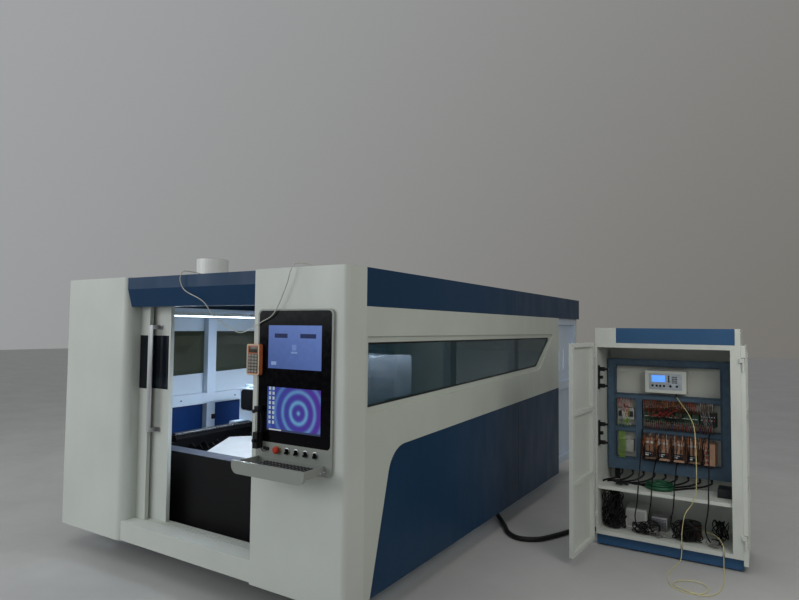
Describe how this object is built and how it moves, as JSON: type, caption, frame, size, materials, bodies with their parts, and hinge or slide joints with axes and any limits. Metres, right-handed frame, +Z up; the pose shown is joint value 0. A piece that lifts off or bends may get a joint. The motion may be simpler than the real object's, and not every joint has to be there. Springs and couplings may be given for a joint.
{
  "type": "fiber laser cutting machine",
  "caption": "Enclosed sheet laser cutting machine with telescopic front door, slat table, gantry, operator console and an open free-standing control cabinet.",
  "frame": {"origin": "middle of the base of the whole set, machine and control cabinet, on the floor", "axes": "+Z up, +Y from the front door to the rear along the machine's length, +X to the right towards the control cabinet"},
  "size_m": [4.5956, 4.875, 2.265],
  "materials": {
    "off_white_enamel": "satin",
    "cool_white_enamel": "satin",
    "navy_enamel": "satin",
    "black_bed_paint": "matte",
    "smoked_glass": "gloss",
    "olive_glass": "gloss",
    "brushed_steel": "brushed",
    "silver_grey_enamel": "satin",
    "black_glass": "gloss",
    "blue_screen": "gloss",
    "purple_screen": "gloss",
    "red_plastic": "gloss",
    "black_plastic": "matte",
    "orange_plastic": "satin",
    "blue_grey_plastic": "matte",
    "plate_grey": "matte",
    "beige_plastic": "matte",
    "green_plastic": "matte",
    "copper_metal": "satin",
    "white_cable": "satin",
    "yellow_cable": "satin",
    "black_cable": "matte"
  },
  "bodies": {
    "machine": {"right_front_column": "off_white_enamel", "left_front_column": "off_white_enamel", "door_sill": "off_white_enamel", "right_side_panel": "off_white_enamel", "left_side_panel": "off_white_enamel", "rear_panel": "off_white_enamel", "roof_duct": "off_white_enamel", "cabinet_shell": "off_white_enamel", "controller_box": "off_white_enamel", "power_supply": "off_white_enamel", "sheet_blank": "off_white_enamel", "inner_frame_right": "cool_white_enamel", "inner_frame_left": "cool_white_enamel", "rear_bay_frame": "cool_white_enamel", "rear_bay_panel": "cool_white_enamel", "front_lintel": "navy_enamel", "roof_cover": "navy_enamel", "right_lower_panel": "navy_enamel", "left_lower_panel": "navy_enamel", "cabinet_fascia": "navy_enamel", "cabinet_plinth": "navy_enamel", "bed_frame": "black_bed_paint", "slat_table": "black_bed_paint", "right_side_window": "smoked_glass", "left_side_window": "olive_glass", "console_frame": "silver_grey_enamel", "keyboard_tray": "silver_grey_enamel", "console_pane": "black_glass", "screen_upper": "blue_screen", "screen_lower": "purple_screen", "keyboard": "black_plastic", "clip_arm": "black_plastic", "transformer": "black_plastic", "pendant_remote": "orange_plastic", "wire_trunking": "blue_grey_plastic", "mounting_plate": "plate_grey", "drive_row": "beige_plastic", "terminal_row": "green_plastic", "cable_coil": "green_plastic", "hanging_cable": "white_cable", "patch_cable": "yellow_cable", "floor_cable": "black_cable"},
    "slow_leaf": {"door_leaf_slow": "off_white_enamel", "door_window_slow": "smoked_glass"},
    "fast_leaf": {"door_leaf_fast": "off_white_enamel", "door_window_fast": "smoked_glass", "door_handle": "brushed_steel"},
    "gantry": {"gantry_beam": "cool_white_enamel", "gantry_front_cover": "black_plastic"},
    "carriage": {"carriage": "brushed_steel", "carriage_cover": "off_white_enamel"},
    "head": {"cutting_head": "brushed_steel", "cutting_nozzle": "copper_metal"},
    "stop_button": {"emergency_stop": "red_plastic"},
    "switch_1": {"selector_switch_1": "black_plastic"},
    "switch_2": {"selector_switch_2": "black_plastic"},
    "switch_3": {"selector_switch_3": "black_plastic"},
    "switch_4": {"selector_switch_4": "black_plastic"},
    "cabinet_left_leaf": {"cabinet_door_left": "off_white_enamel"},
    "cabinet_right_leaf": {"cabinet_door_right": "off_white_enamel"}
  },
  "joints": [
    {"name": "door_fast_slide", "type": "slide", "parent": "machine", "child": "fast_leaf", "axis": [1, 0, 0], "range_m": [0, 1.006]},
    {"name": "door_slow_slide", "type": "slide", "parent": "machine", "child": "slow_leaf", "axis": [1, 0, 0], "range_m": [0, 0.536]},
    {"name": "gantry_slide", "type": "slide", "parent": "machine", "child": "gantry", "axis": [0, 1, 0], "range_m": [-0.7, 2.4]},
    {"name": "carriage_slide", "type": "slide", "parent": "gantry", "child": "carriage", "axis": [1, 0, 0], "range_m": [-1.2, 0.03]},
    {"name": "head_slide", "type": "slide", "parent": "carriage", "child": "head", "axis": [0, 0, 1], "range_m": [-0.02, 0.08]},
    {"name": "emergency_stop_press", "type": "slide", "parent": "machine", "child": "stop_button", "axis": [0, 1, 0], "range_m": [0, 0.004], "stiffness_N_per_m": 1500},
    {"name": "selector_switch_1_turn", "type": "hinge", "parent": "machine", "child": "switch_1", "pos_m": [0.0642, -2.2421, 0.985], "axis": [0, -1, 0], "range_deg": [-45, 45]},
    {"name": "selector_switch_2_turn", "type": "hinge", "parent": "machine", "child": "switch_2", "pos_m": [0.1342, -2.2421, 0.985], "axis": [0, -1, 0], "range_deg": [-45, 45]},
    {"name": "selector_switch_3_turn", "type": "hinge", "parent": "machine", "child": "switch_3", "pos_m": [0.2042, -2.2421, 0.985], "axis": [0, -1, 0], "range_deg": [-45, 45]},
    {"name": "selector_switch_4_turn", "type": "hinge", "parent": "machine", "child": "switch_4", "pos_m": [0.2742, -2.2421, 0.985], "axis": [0, -1, 0], "range_deg": [-45, 45]},
    {"name": "cabinet_left_hinge", "type": "hinge", "parent": "machine", "child": "cabinet_left_leaf", "pos_m": [1.2366, 0.0372, 0.055], "axis": [0, 0, 1], "range_deg": [-176.5, 93.5]},
    {"name": "cabinet_right_hinge", "type": "hinge", "parent": "machine", "child": "cabinet_right_leaf", "pos_m": [2.2828, 0.0372, 0.055], "axis": [0, 0, 1], "range_deg": [-270, 0]}
  ],
  "couplings": [
    {"joint": "door_slow_slide", "follows": "door_fast_slide", "ratio": 0.532}
  ]
}
